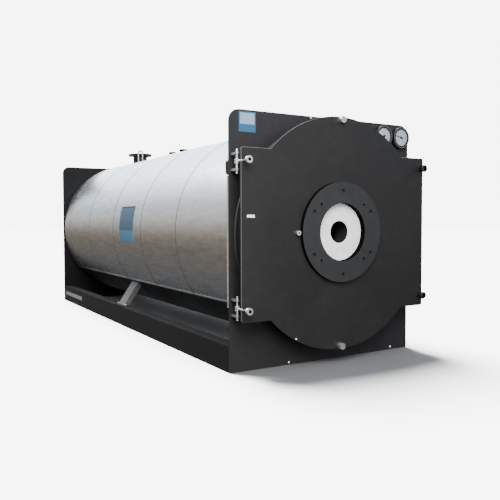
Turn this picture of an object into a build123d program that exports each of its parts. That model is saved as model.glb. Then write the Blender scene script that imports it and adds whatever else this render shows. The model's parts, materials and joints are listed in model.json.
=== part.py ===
from build123d import *
import math
import os

os.makedirs("parts", exist_ok=True)

# Driving dimensions, in millimetres. X runs across the front, Y from the door to the rear, Z up.
shell_r = 742
shell_wall = 12
insulation_thickness = 68
cladding_r = shell_r + insulation_thickness
cladding_edge_angle = 218
band_gap = 2
rear_ring_width = 50
rear_ring_step = 6
cover_inset = 4
cover_r = cladding_r - cover_inset

plate_side_margin = 5
plate_half_width = cladding_r + plate_side_margin
plate_width = 2 * plate_half_width
axis_z = 920
front_plate_margin = 20
front_plate_height = axis_z + cladding_r + front_plate_margin
rear_plate_drop = 20
rear_plate_height = axis_z + cladding_r - rear_plate_drop
plate_thickness = 10
plate_corner_r = 80
plate_spacing = 4240
first_band_start = 22
band_rear_distances = [3390, 2650, 1900, 1090, 280]
band_edges = [first_band_start] + [plate_spacing - distance for distance in band_rear_distances]

rail_height = 180
rail_width = 100
rail_wall = 8

strut_offset = 80
strut_y = plate_spacing / 2 + strut_offset
strut_width = 160
strut_depth = 60
strut_wall = 8
strut_foot_inset = 30
strut_top_drop = 515
strut_top_z = axis_z - strut_top_drop
strut_top_inset = 182
strut_top_x = cladding_r - strut_top_inset

drum_step = 26
drum_r = shell_r + drum_step
drum_wall = 12
door_gap = 139
seal_thickness = 10
door_thickness = 15
door_overhang = 46
door_r = drum_r + door_overhang
door_half_width = plate_half_width
ear_half_height = 562
ear_corner_r = 14
burner_rise = 12
burner_z = axis_z + burner_rise
bore_r = 202
lining_margin = 78
lining_r = drum_r - lining_margin
lining_depth = 129
clearance = 0.3

burner_flange_r = 350
burner_flange_thickness = 30
burner_bolt_edge_distance = 58
burner_bolt_circle_r = burner_flange_r - burner_bolt_edge_distance
burner_bolt_count = 6
burner_bolt_hole_r = 9
insulation_recess = 45
pilot_r = 77

tube_plate_y = 50
tube_plate_thickness = 20
furnace_r = 330
furnace_wall = 14
rear_tube_plate_inset = 160
rear_tube_plate_y = plate_spacing - rear_tube_plate_inset
furnace_end_gap = 330
furnace_length = rear_tube_plate_y - tube_plate_y - furnace_end_gap

hinge_inset = 20
hinge_x = plate_half_width - hinge_inset
hinge_pin_y = 70
hinge_ear_inset = 84
hinge_spread = ear_half_height - hinge_ear_inset
hinge_pin_r = 8
hinge_pin_length = 160
lug_spread = 52
lug_thickness = 16
lug_head_r = 15
lug_shank_r = 8
eye_r = 16
eye_height = 30
bolt_r = 8
nut_face_y = 225
nut_r = 23
nut_thickness = 20
nut_hollow_r = 10
nut_hollow_depth = 12

closing_inset = 24
closing_x = door_half_width - closing_inset
closing_ear_inset = 78
closing_spread = ear_half_height - closing_ear_inset
closing_nut_face_y = 186
closing_edge_distance = 21
closing_bolt_circle_r = door_r - closing_edge_distance
boss_r = 17
boss_end_y = 95
boss_hole_r = 10
boss_hole_depth = 40
closing_bolt_reach = 30

sight_x = -377
sight_z = 930
sight_r = 15
sight_hole_r = 6
sight_length = 22

gauge_r = 80
gauge_top_distance = 100
gauge_z = front_plate_height - gauge_top_distance
gauge_edge_distances = [285, 105]
gauge_xs = [plate_half_width - distance for distance in gauge_edge_distances]
gauge_depth = 40
gauge_bezel = 7
gauge_recess = 5

nozzle_rear_distance = 619
nozzle_y = plate_spacing - nozzle_rear_distance
nozzle_pipe_r = 84
nozzle_bore_r = 76
nozzle_flange_r = 142.5
nozzle_flange_thickness = 22
nozzle_height = 116
nozzle_bolt_circle_r = 120
nozzle_bolt_count = 8
nozzle_bolt_hole_r = 11

socket_rear_distances = [1590, 1877]
socket_ys = [plate_spacing - distance for distance in socket_rear_distances]
socket_rs = [36, 41]
socket_bore_rs = [28.5, 36]
socket_height = 38

loop_x = -124
front_loop_y = 628
rear_loop_distance = 940
loop_ys = [front_loop_y, plate_spacing - rear_loop_distance]
loop_bar_r = 9
loop_half_width = 26
loop_height = 120

smokebox_inset = 102
smokebox_r = shell_r - smokebox_inset
smokebox_depth = 330
smokebox_wall = 8
flue_r = 200
flue_wall = 6
flue_length = 100
flue_flange_r = 240
flue_flange_thickness = 12

trim_depth = 18
trim_thickness = 4
trim_reach_down = 482
trim_bottom_z = axis_z - trim_reach_down
trim_reach_up = 390
trim_top_z = axis_z + trim_reach_up

# Where the front plate's face lies, so that the whole boiler is centred on the origin.
rear_reach = plate_thickness + smokebox_depth + flue_length
front_y = -(plate_spacing + rear_reach - nut_face_y) / 2


def facing(depth):
    """A plane looking to the front, at this depth behind the front plate's face."""
    return Plane.XZ.offset(-(front_y + depth))


def disc_between(depth_front, depth_rear, radius, z=axis_z, x=0.0, mode=Mode.ADD):
    """A round slab between two depths, added to the part being built."""
    with BuildSketch(facing(depth_rear)) as profile:
        with Locations((x, z)):
            Circle(radius)
    extrude(profile.sketch, amount=depth_rear - depth_front, mode=mode)


def bore_between(depth_front, depth_rear, radius, z=axis_z, x=0.0):
    """A round hole between two depths, cut from the part being built."""
    disc_between(depth_front, depth_rear, radius, z, x, mode=Mode.SUBTRACT)


def cut_upright(x, depth, radius, bottom_z):
    """An upright round hole from this height up through the crown."""
    with BuildSketch(Plane.XY.offset(bottom_z)) as profile:
        with Locations((x, front_y + depth)):
            Circle(radius)
    extrude(profile.sketch, amount=2 * cladding_r, mode=Mode.SUBTRACT)


def height_on(radius, x):
    """The height of a cylinder of this radius about the boiler's axis, at this distance sideways."""
    return axis_z + math.sqrt(radius**2 - x**2)


def finish(part, label):
    part.label = label
    export_step(part, f"parts/{label}.step")


# End plates: they stand on the floor, carry the shell and frame the cladding.
plate_rear_face = plate_thickness
shell_start = plate_thickness
shell_end = plate_spacing

with BuildPart() as front_plate:
    with BuildSketch(facing(plate_rear_face)) as front_outline:
        Rectangle(plate_width, front_plate_height, align=(Align.CENTER, Align.MIN))
        fillet(front_outline.vertices().group_by(Axis.Y)[-1], plate_corner_r)
        with Locations((0, axis_z)):
            Circle(shell_r - shell_wall, mode=Mode.SUBTRACT)
    extrude(amount=plate_thickness)
finish(front_plate.part, "front_plate")

with BuildPart() as rear_plate:
    with BuildSketch(facing(plate_spacing + plate_thickness)) as rear_outline:
        Rectangle(plate_width, rear_plate_height, align=(Align.CENTER, Align.MIN))
        fillet(rear_outline.vertices().group_by(Axis.Y)[-1], plate_corner_r)
        with Locations((0, axis_z)):
            Circle(smokebox_r - smokebox_wall, mode=Mode.SUBTRACT)
    extrude(amount=plate_thickness)
finish(rear_plate.part, "rear_plate")

# Base rails: folded channels, web outwards, between the two plates.
for side, name in ((-1, "base_rail_left"), (1, "base_rail_right")):
    with BuildPart() as rail:
        with BuildSketch(facing(plate_spacing)):
            with Locations((side * (plate_width - rail_width) / 2, rail_height / 2)):
                Rectangle(rail_width, rail_height)
            with Locations((side * (plate_width / 2 - rail_wall - (rail_width - rail_wall) / 2), rail_height / 2)):
                Rectangle(rail_width - rail_wall, rail_height - 2 * rail_wall, mode=Mode.SUBTRACT)
        extrude(amount=plate_spacing - plate_thickness)
    finish(rail.part, name)

# Struts: channels that lean from the rails to the shell at mid length.
strut_foot_x = plate_width / 2 - strut_foot_inset

for side, name in ((-1, "strut_left"), (1, "strut_right")):
    foot = (side * strut_foot_x, rail_height)
    top = (side * strut_top_x, strut_top_z)
    inward = (-side * strut_depth, 0)
    with BuildPart() as strut:
        with BuildSketch(facing(strut_y + strut_width / 2)):
            with BuildLine():
                Polyline(
                    foot,
                    top,
                    (top[0] + inward[0], top[1]),
                    (foot[0] + inward[0], foot[1]),
                    close=True,
                )
            make_face()
        extrude(amount=strut_width)
        with BuildSketch(facing(strut_y + strut_width / 2 - strut_wall)):
            with BuildLine():
                Polyline(
                    (foot[0] - side * strut_wall, foot[1]),
                    (top[0] - side * strut_wall, top[1]),
                    (top[0] + inward[0], top[1]),
                    (foot[0] + inward[0], foot[1]),
                    close=True,
                )
            make_face()
        extrude(amount=strut_width - 2 * strut_wall, mode=Mode.SUBTRACT)
        bore_between(strut_y - strut_width, strut_y + strut_width, cover_r)
    finish(strut.part, name)

# Pressure shell with its two tube plates and the furnace tube.
with BuildPart() as pressure_shell:
    disc_between(shell_start, shell_end, shell_r)
    bore_between(shell_start, shell_end, shell_r - shell_wall)
    cut_upright(0, nozzle_y, nozzle_pipe_r, axis_z)
    for y, radius in zip(socket_ys, socket_rs):
        cut_upright(0, y, radius, axis_z)
finish(pressure_shell.part, "pressure_shell")

with BuildPart() as front_tube_plate:
    disc_between(tube_plate_y, tube_plate_y + tube_plate_thickness, shell_r - shell_wall)
    bore_between(tube_plate_y, tube_plate_y + tube_plate_thickness, furnace_r)
finish(front_tube_plate.part, "front_tube_plate")

with BuildPart() as rear_tube_plate:
    disc_between(rear_tube_plate_y, rear_tube_plate_y + tube_plate_thickness, shell_r - shell_wall)
finish(rear_tube_plate.part, "rear_tube_plate")

with BuildPart() as furnace_tube:
    disc_between(tube_plate_y, tube_plate_y + furnace_length, furnace_r)
    bore_between(tube_plate_y, tube_plate_y + furnace_length - furnace_wall, furnace_r - furnace_wall)
finish(furnace_tube.part, "furnace_tube")

# Cladding: insulated bands round the shell, open below, where a dark cover closes the underside.
reach = 2 * cladding_r
edge = math.radians(cladding_edge_angle)
wedge_left = (reach * math.cos(edge), reach * math.sin(edge))
wedge_right = (-wedge_left[0], wedge_left[1])


def ring_sector(depth_front, depth_rear, outer_r, inner_r, lower):
    """A band round the shell: the part above the cladding's edges, or the lower part between them."""
    with BuildSketch(facing(depth_rear)) as profile:
        with Locations((0, axis_z)):
            Circle(outer_r)
            Circle(inner_r, mode=Mode.SUBTRACT)
            Polygon(
                (0, 0),
                wedge_left,
                (0, -reach * 2),
                wedge_right,
                align=None,
                mode=Mode.INTERSECT if lower else Mode.SUBTRACT,
            )
    extrude(profile.sketch, amount=depth_rear - depth_front)


loop_legs = [loop_x - loop_half_width, loop_x + loop_half_width]
crown_holes = [(0, nozzle_y, nozzle_pipe_r + clearance)]
crown_holes += [(0, depth, radius + clearance) for depth, radius in zip(socket_ys, socket_rs)]
crown_holes += [(x, depth, loop_bar_r + clearance) for x in loop_legs for depth in loop_ys]

band_starts = band_edges
band_ends = [start - band_gap for start in band_edges[1:]] + [plate_spacing - rear_ring_width]
for number, (start, end) in enumerate(zip(band_starts, band_ends), start=1):
    with BuildPart() as band:
        ring_sector(start, end, cladding_r, shell_r, lower=False)
        for x, depth, radius in crown_holes:
            if start < depth + radius and depth - radius < end:
                cut_upright(x, depth, radius, axis_z)
    finish(band.part, f"cladding_band_{number}")

with BuildPart() as rear_ring:
    ring_sector(plate_spacing - rear_ring_width, plate_spacing, cladding_r - rear_ring_step, shell_r, lower=False)
finish(rear_ring.part, "cladding_end_ring")

with BuildPart() as underside:
    ring_sector(band_edges[0], plate_spacing, cover_r, shell_r, lower=True)
finish(underside.part, "underside_cover")

# Aluminium strips that close the cladding at the front plate's two sides.
for side, name in ((-1, "edge_trim_left"), (1, "edge_trim_right")):
    with BuildPart() as trim:
        with BuildSketch(facing(plate_thickness + trim_depth)):
            with Locations((side * (plate_width - trim_thickness) / 2, (trim_bottom_z + trim_top_z) / 2)):
                Rectangle(trim_thickness, trim_top_z - trim_bottom_z)
        extrude(amount=trim_depth)
    finish(trim.part, name)

# Front drum: the collar that the door closes on.
drum_front = -(door_gap - seal_thickness)
with BuildPart() as front_drum:
    disc_between(drum_front, 0, drum_r)
    bore_between(drum_front, 0, drum_r - drum_wall)
finish(front_drum.part, "front_drum")

# Door plate: a round plate with square ears for hinges and closing bolts.
door_rear = -door_gap
door_front = -(door_gap + door_thickness)
with BuildPart() as door_plate:
    with BuildSketch(facing(door_rear)):
        with BuildSketch(mode=Mode.PRIVATE) as ears:
            Rectangle(2 * door_half_width, 2 * ear_half_height)
            fillet(ears.vertices(), ear_corner_r)
        with Locations((0, axis_z)):
            add(ears.sketch)
            Circle(door_r)
        with Locations((0, burner_z)):
            Circle(bore_r, mode=Mode.SUBTRACT)
        with Locations((sight_x, sight_z)):
            Circle(sight_hole_r, mode=Mode.SUBTRACT)
        for sign in (-1, 1):
            with Locations((-hinge_x, axis_z + sign * hinge_spread)):
                SlotCenterPoint((-bolt_r * 2, 0), (0, 0), 2 * (bolt_r + 2), mode=Mode.SUBTRACT)
            with Locations((closing_x, axis_z + sign * closing_spread)):
                Circle(bolt_r + clearance, mode=Mode.SUBTRACT)
            with Locations((0, axis_z + sign * closing_bolt_circle_r)):
                Circle(bolt_r + clearance, mode=Mode.SUBTRACT)
    extrude(amount=door_thickness)
finish(door_plate.part, "door_plate")

with BuildPart() as door_seal:
    disc_between(door_rear, door_rear + seal_thickness - clearance, drum_r)
    bore_between(door_rear, door_rear + seal_thickness - clearance, drum_r - 2 * drum_wall)
finish(door_seal.part, "door_seal")

with BuildPart() as door_lining:
    disc_between(door_rear, door_rear + lining_depth, lining_r)
    bore_between(door_rear, door_rear + lining_depth, bore_r, z=burner_z)
    bore_between(door_rear, door_rear + lining_depth, sight_hole_r, z=sight_z, x=sight_x)
finish(door_lining.part, "door_lining")

with BuildPart() as burner_flange:
    flange_front = door_front - burner_flange_thickness
    disc_between(flange_front, door_front, burner_flange_r, z=burner_z)
    bore_between(flange_front, door_front, bore_r, z=burner_z)
    with BuildSketch(facing(door_front)):
        with Locations((0, burner_z)):
            with PolarLocations(burner_bolt_circle_r, burner_bolt_count, start_angle=90):
                Circle(burner_bolt_hole_r)
    extrude(amount=burner_flange_thickness, mode=Mode.SUBTRACT)
finish(burner_flange.part, "burner_flange")

with BuildPart() as burner_insulation:
    insulation_front = flange_front + insulation_recess
    insulation_r = bore_r - clearance
    disc_between(insulation_front, door_rear + lining_depth, insulation_r, z=burner_z)
    bore_between(insulation_front, door_rear + lining_depth, pilot_r, z=burner_z)
finish(burner_insulation.part, "burner_insulation")

with BuildPart() as peep_sight:
    disc_between(door_front - sight_length, door_front, sight_r, z=sight_z, x=sight_x)
    bore_between(door_front - sight_length, door_front, sight_hole_r, z=sight_z, x=sight_x)
finish(peep_sight.part, "peep_sight")

# Hinges: two lugs and a pin on the front plate, an eye bolt on the pin that rides with the door.
for sign, level in ((1, "upper"), (-1, "lower")):
    hinge_z = axis_z + sign * hinge_spread
    with BuildPart() as lugs:
        for half in (-1, 1):
            lug_z = hinge_z + half * lug_spread
            with BuildSketch(Plane.XY.offset(lug_z - lug_thickness / 2)):
                with Locations((-hinge_x, front_y - hinge_pin_y)):
                    Circle(lug_head_r)
                with Locations((-hinge_x, front_y - hinge_pin_y / 2)):
                    Rectangle(2 * lug_shank_r, hinge_pin_y)
                with Locations((-hinge_x, front_y - hinge_pin_y)):
                    Circle(hinge_pin_r, mode=Mode.SUBTRACT)
            extrude(amount=lug_thickness)
    finish(lugs.part, f"{level}_hinge_lugs")

    with BuildPart() as pin:
        with BuildSketch(Plane.XY.offset(hinge_z - hinge_pin_length / 2)):
            with Locations((-hinge_x, front_y - hinge_pin_y)):
                Circle(hinge_pin_r)
        extrude(amount=hinge_pin_length)
    finish(pin.part, f"{level}_hinge_pin")

    with BuildPart() as eye_bolt:
        with BuildSketch(Plane.XY.offset(hinge_z - eye_height / 2)):
            with Locations((-hinge_x, front_y - hinge_pin_y)):
                Circle(eye_r)
        extrude(amount=eye_height)
        disc_between(-nut_face_y + nut_hollow_depth, -hinge_pin_y, bolt_r, z=hinge_z, x=-hinge_x)
        with BuildSketch(Plane.XY.offset(hinge_z - eye_height / 2)):
            with Locations((-hinge_x, front_y - hinge_pin_y)):
                Circle(hinge_pin_r + 0.1)
        extrude(amount=eye_height, mode=Mode.SUBTRACT)
        disc_between(-nut_face_y, -nut_face_y + nut_thickness, nut_r, z=hinge_z, x=-hinge_x)
        bore_between(-nut_face_y, -nut_face_y + nut_hollow_depth, nut_hollow_r, z=hinge_z, x=-hinge_x)
    finish(eye_bolt.part, f"{level}_hinge_bolt")

# Closing bolts on the door, with their bosses on the front plate.
closing_places = [
    (closing_x, axis_z + closing_spread),
    (closing_x, axis_z - closing_spread),
    (0, axis_z + closing_bolt_circle_r),
    (0, axis_z - closing_bolt_circle_r),
]
with BuildPart() as bosses:
    for x, z in closing_places:
        disc_between(-boss_end_y, 0, boss_r, z=z, x=x)
        bore_between(-boss_end_y, -boss_end_y + boss_hole_depth, boss_hole_r, z=z, x=x)
finish(bosses.part, "closing_bosses")

for group, name in ((closing_places[:2], "closing_bolts_right"), (closing_places[2:], "closing_bolts_centre")):
    with BuildPart() as closing_bolts:
        for x, z in group:
            disc_between(-closing_nut_face_y, -boss_end_y + closing_bolt_reach, bolt_r, z=z, x=x)
            disc_between(-closing_nut_face_y, door_front, nut_r, z=z, x=x)
    finish(closing_bolts.part, name)

# Gauges at the front plate's upper right corner.
for x, name in zip(gauge_xs, ("gauge_left", "gauge_right")):
    with BuildPart() as gauge:
        disc_between(-gauge_depth, 0, gauge_r, z=gauge_z, x=x)
        bore_between(-gauge_depth, -gauge_depth + gauge_recess, gauge_r - gauge_bezel, z=gauge_z, x=x)
    finish(gauge.part, name)

# Crown fittings: flanged outlet, two threaded sockets and two lifting loops.
crown_z = axis_z + cladding_r
with BuildPart() as outlet:
    with BuildSketch(Plane.XY.offset(axis_z + shell_r - shell_wall)):
        with Locations((0, front_y + nozzle_y)):
            Circle(nozzle_pipe_r)
    extrude(amount=cladding_r - shell_r + shell_wall + nozzle_height)
    with BuildSketch(Plane.XY.offset(crown_z + nozzle_height - nozzle_flange_thickness)):
        with Locations((0, front_y + nozzle_y)):
            Circle(nozzle_flange_r)
            with PolarLocations(nozzle_bolt_circle_r, nozzle_bolt_count, start_angle=22.5):
                Circle(nozzle_bolt_hole_r, mode=Mode.SUBTRACT)
    extrude(amount=nozzle_flange_thickness)
    with BuildSketch(Plane.XY.offset(axis_z + shell_r - shell_wall)):
        with Locations((0, front_y + nozzle_y)):
            Circle(nozzle_bore_r)
    extrude(amount=cladding_r - shell_r + shell_wall + nozzle_height, mode=Mode.SUBTRACT)
finish(outlet.part, "outlet_nozzle")

for number, (y, radius, socket_bore_r) in enumerate(zip(socket_ys, socket_rs, socket_bore_rs), start=1):
    with BuildPart() as socket:
        with BuildSketch(Plane.XY.offset(axis_z + shell_r - shell_wall)):
            with Locations((0, front_y + y)):
                Circle(radius)
                Circle(socket_bore_r, mode=Mode.SUBTRACT)
        extrude(amount=cladding_r - shell_r + shell_wall + socket_height)
    finish(socket.part, f"crown_socket_{number}")

bend_z = crown_z + loop_height - loop_half_width
leg_feet = [height_on(shell_r, abs(x) - loop_bar_r) for x in loop_legs]
with BuildPart() as loops:
    for y in loop_ys:
        with BuildLine(facing(y)) as loop_path:
            left_leg = Line((loop_legs[0], leg_feet[0]), (loop_legs[0], bend_z))
            bend = ThreePointArc(left_leg @ 1, (loop_x, bend_z + loop_half_width), (loop_legs[1], bend_z))
            Line(bend @ 1, (loop_legs[1], leg_feet[1]))
        with BuildSketch(Plane(origin=loop_path.line @ 0, z_dir=loop_path.line % 0)):
            Circle(loop_bar_r)
        sweep(path=loop_path.line)
finish(loops.part, "lifting_loops")

# Rear smokebox with its flue outlet.
smokebox_front = plate_spacing
smokebox_back = plate_spacing + plate_thickness + smokebox_depth
with BuildPart() as smokebox:
    disc_between(smokebox_front, smokebox_back, smokebox_r - smokebox_wall - clearance)
    bore_between(
        smokebox_front,
        smokebox_back - smokebox_wall,
        smokebox_r - 2 * smokebox_wall - clearance,
    )
    bore_between(smokebox_back - smokebox_wall, smokebox_back, flue_r - flue_wall)
finish(smokebox.part, "rear_smokebox")

with BuildPart() as flue:
    flue_end = smokebox_back + flue_length
    disc_between(smokebox_back, flue_end, flue_r)
    disc_between(flue_end - flue_flange_thickness, flue_end, flue_flange_r)
    bore_between(smokebox_back, flue_end, flue_r - flue_wall)
finish(flue.part, "flue_outlet")
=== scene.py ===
import json
import math
import random

import bmesh
import bpy
from mathutils import Matrix, Vector


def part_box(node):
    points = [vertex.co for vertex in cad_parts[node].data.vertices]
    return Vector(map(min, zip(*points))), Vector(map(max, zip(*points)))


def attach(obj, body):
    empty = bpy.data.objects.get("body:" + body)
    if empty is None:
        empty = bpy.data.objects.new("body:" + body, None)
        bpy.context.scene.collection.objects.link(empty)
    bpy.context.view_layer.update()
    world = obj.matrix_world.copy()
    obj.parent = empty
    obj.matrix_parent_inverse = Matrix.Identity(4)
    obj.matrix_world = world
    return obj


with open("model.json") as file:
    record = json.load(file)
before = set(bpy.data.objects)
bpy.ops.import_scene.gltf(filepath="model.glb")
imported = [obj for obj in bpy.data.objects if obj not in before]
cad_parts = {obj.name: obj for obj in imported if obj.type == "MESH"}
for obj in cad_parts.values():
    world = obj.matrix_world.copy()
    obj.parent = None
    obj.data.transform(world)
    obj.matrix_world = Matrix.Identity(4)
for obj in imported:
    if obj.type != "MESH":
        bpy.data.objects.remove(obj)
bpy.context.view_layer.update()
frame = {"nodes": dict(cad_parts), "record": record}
nodes = frame["nodes"]
chance = random.Random(7)


# Places and sizes taken from the frame, in metres. A depth is a distance behind the front plate's face.
def middle(node):
    low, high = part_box(node)
    return (low + high) / 2


FACE_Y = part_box("front_plate")[0].y
SIDE_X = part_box("front_plate")[1].x
AXIS_Z = middle("front_tube_plate").z
CLADDING_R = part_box("cladding_band_1")[1].x
CLADDING_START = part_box("cladding_band_1")[0].y - FACE_Y
CLADDING_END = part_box("cladding_end_ring")[0].y - FACE_Y
SEAMS = [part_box(f"cladding_band_{band}")[0].y - FACE_Y for band in range(2, 7)]
DOOR_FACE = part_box("door_plate")[0].y - FACE_Y
FLANGE_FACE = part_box("burner_flange")[0].y - FACE_Y
BURNER_Z = middle("burner_flange").z
RAIL_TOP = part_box("base_rail_left")[1].z

# Sizes of the solids, as the CAD model has them.
PILOT_R = 0.077
BURNER_BOLT_CIRCLE_R = 0.292
BURNER_BORE_R = 0.202
DOOR_R = 0.814
DOOR_HALF_WIDTH = 0.815
EAR_HALF_HEIGHT = 0.562
EAR_CORNER_R = 0.014
GAUGE_RECESS = 0.005
GAUGE_BEZEL = 0.007
NOZZLE_R = 0.084
LOOP_BAR_R = 0.009
FLUE_R = 0.2

# The cladding stops at these angles from the horizontal, one on each side of the underside.
LEFT_EDGE = math.radians(218)
RIGHT_EDGE = math.radians(-38)
HEM_WIDTH = math.radians(1.1)
HEM_THICKNESS = 0.0025
LAP_WIDTH = 0.024
SHEET_THICKNESS = 0.0015

# The thickness of a film on another face, and the gap between a collar and its pipe.
FILM = 0.0005
GAP = 0.0005


def make_camera():
    """The camera, solved from the photograph's straight edges and circles."""
    azimuth, pitch, roll = math.radians(29.30), math.radians(2.31), math.radians(-0.26)
    place = (-2.7478, FACE_Y - 3.3272, 1.0197)
    forward = Vector(
        (math.sin(azimuth) * math.cos(pitch), math.cos(azimuth) * math.cos(pitch), -math.sin(pitch))
    )
    level = Vector((math.cos(azimuth), -math.sin(azimuth), 0))
    upright = level.cross(forward)
    right = level * math.cos(roll) + upright * math.sin(roll)
    up = upright * math.cos(roll) - level * math.sin(roll)
    data = bpy.data.cameras.new("camera")
    data.sensor_width = 36
    data.lens = 42.15
    data.shift_x = 0.0592
    data.shift_y = -0.0128
    camera = bpy.data.objects.new("camera", data)
    bpy.context.collection.objects.link(camera)
    turn = Matrix((right, up, -forward)).transposed().to_4x4()
    camera.matrix_world = Matrix.Translation(place) @ turn
    bpy.context.scene.camera = camera


# Materials.
def rgb(code, strength=1.0):
    """Linear colour of an sRGB hex code, made darker or lighter by its strength."""
    parts = [int(code[i : i + 2], 16) / 255 for i in (0, 2, 4)]
    linear = (c / 12.92 if c <= 0.04045 else ((c + 0.055) / 1.055) ** 2.4 for c in parts)
    return tuple(c * strength for c in linear) + (1.0,)


def new_material(name, colour, roughness, metallic=0.0, specular=0.5):
    """A material with its Principled shader set to these even values, and its tree."""
    material = bpy.data.materials.new(name)
    material.use_nodes = True
    tree = material.node_tree
    shader = tree.nodes["Principled BSDF"]
    shader.inputs["Base Color"].default_value = rgb(colour)
    shader.inputs["Roughness"].default_value = roughness
    shader.inputs["Metallic"].default_value = metallic
    shader.inputs["Specular IOR Level"].default_value = specular
    return material, tree, shader


def add(tree, kind, inputs=None, **settings):
    """A node of this kind with its settings, and its inputs set to values or linked to sockets."""
    node = tree.nodes.new(kind)
    for key, value in settings.items():
        setattr(node, key, value)
    for key, value in (inputs or {}).items():
        socket = node.inputs[key]
        if isinstance(value, bpy.types.NodeSocket):
            tree.links.new(value, socket)
        else:
            socket.default_value = value
    return node


def piece_place(tree):
    """The place of a point on its own piece, which textures keep to when the piece moves."""
    return add(tree, "ShaderNodeTexCoord").outputs["Object"]


def noise(tree, place, size, detail, **more):
    """Cloudy noise with features of this size in millimetres."""
    inputs = {"Vector": place, "Scale": 1000 / size, "Detail": detail, **more}
    return add(tree, "ShaderNodeTexNoise", inputs).outputs[0]


def cells(tree, place, size, **settings):
    """A pattern of cells of this size in millimetres."""
    return add(tree, "ShaderNodeTexVoronoi", {"Vector": place, "Scale": 1000 / size}, **settings).outputs[0]


def remap(tree, value, low, high, first=0.0, last=1.0):
    """A value that runs from first to last where the given one runs from low to high."""
    return add(tree, "ShaderNodeMapRange", {0: value, 1: low, 2: high, 3: first, 4: last}).outputs[0]


def blend(tree, share, first, second):
    """The first colour with this share of the second."""
    return add(tree, "ShaderNodeMix", {0: share, 6: first, 7: second}, data_type="RGBA").outputs[2]


def emboss(tree, height, strength, distance, invert=False):
    """A bump that follows this height, up to a distance in metres."""
    inputs = {"Height": height, "Strength": strength, "Distance": distance}
    return add(tree, "ShaderNodeBump", inputs, invert=invert)


def wire(tree, shader, colour=None, roughness=None, bump=None):
    """Link what is given to the shader."""
    if colour is not None:
        tree.links.new(colour, shader.inputs["Base Color"])
    if roughness is not None:
        tree.links.new(roughness, shader.inputs["Roughness"])
    if bump is not None:
        tree.links.new(bump.outputs[0], shader.inputs["Normal"])


def satin_black(name, colour, roughness):
    """Satin powder coat on steel: an even black with a faint orange peel and duller, dusty patches."""
    material, tree, shader = new_material(name, colour, roughness, specular=0.22)
    place = piece_place(tree)
    patches = noise(tree, place, 350, 5.0)
    dust = noise(tree, place, 60, 6.0)
    peel = noise(tree, place, 4, 1.0)
    tone = blend(tree, remap(tree, dust, 0.45, 0.75), rgb(colour), rgb(colour, 1.2))
    rough = remap(tree, patches, 0.35, 0.7, roughness, roughness + 0.14)
    wire(tree, shader, tone, rough, emboss(tree, peel, 0.12, 0.0006))
    return material


def stucco_aluminium(name):
    """Rolled aluminium sheet with an embossed grain: bright, broken reflections and marks of handling."""
    material, tree, shader = new_material(name, "cfd0d1", 0.24, metallic=1.0)
    place = piece_place(tree)
    # The grain is 4 mm in the real sheet, and drawn at 9 mm, which still shows at the photograph's distance.
    grain = cells(tree, place, 9, feature="SMOOTH_F1")
    waves = noise(tree, place, 240, 2.0)
    marks = noise(tree, place, 60, 6.0, Roughness=0.7)
    along = add(tree, "ShaderNodeVectorMath", {0: place, 1: (1, 0.14, 1)}, operation="MULTIPLY")
    streaks = noise(tree, along.outputs[0], 28, 5.0)
    tone = blend(tree, remap(tree, streaks, 0.35, 0.68), rgb("d5d5d5"), rgb("c2c3c6"))
    broad = emboss(tree, waves, 0.25, 0.006)
    tree.links.new(emboss(tree, grain, 0.24, 0.0008).outputs[0], broad.inputs["Normal"])
    wire(tree, shader, tone, remap(tree, marks, 0.3, 0.7, 0.24, 0.34), broad)
    return material


def mill_steel(name, light, dark):
    """Hot-rolled boiler plate with its mill scale: blue-grey and brown patches, half metallic."""
    material, tree, shader = new_material(name, light, 0.6, metallic=0.55)
    patches = noise(tree, piece_place(tree), 70, 8.0, Roughness=0.65)
    tone = blend(tree, remap(tree, patches, 0.35, 0.65), rgb(dark), rgb(light))
    rough = remap(tree, patches, 0.3, 0.7, 0.45, 0.75)
    wire(tree, shader, tone, rough, emboss(tree, patches, 0.3, 0.0008))
    return material


def turned_steel(name, light, dark, roughness):
    """Turned and zinc-plated steel: bright, with fine tool marks and a faint cloudiness."""
    material, tree, shader = new_material(name, light, roughness, metallic=1.0)
    place = piece_place(tree)
    cloud = noise(tree, place, 18, 4.0)
    tool_marks = noise(tree, place, 1.5, 1.0)
    tone = blend(tree, cloud, rgb(dark), rgb(light))
    rough = remap(tree, cloud, 0.3, 0.7, roughness - 0.06, roughness + 0.1)
    wire(tree, shader, tone, rough, emboss(tree, tool_marks, 0.1, 0.0003))
    return material


def cast_refractory(name):
    """Cast refractory concrete: a chalky buff with pale grit and small air holes."""
    material, tree, shader = new_material(name, "b9b0a0", 0.92, specular=0.2)
    place = piece_place(tree)
    grit = cells(tree, place, 7)
    paste = blend(tree, noise(tree, place, 90, 6.0), rgb("a89e8c"), rgb("cbc3b3"))
    tone = blend(tree, remap(tree, grit, 0.0, 0.35, 0.45, 0.0), paste, rgb("7e766a"))
    wire(tree, shader, tone, bump=emboss(tree, grit, 0.5, 0.002))
    return material


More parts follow.
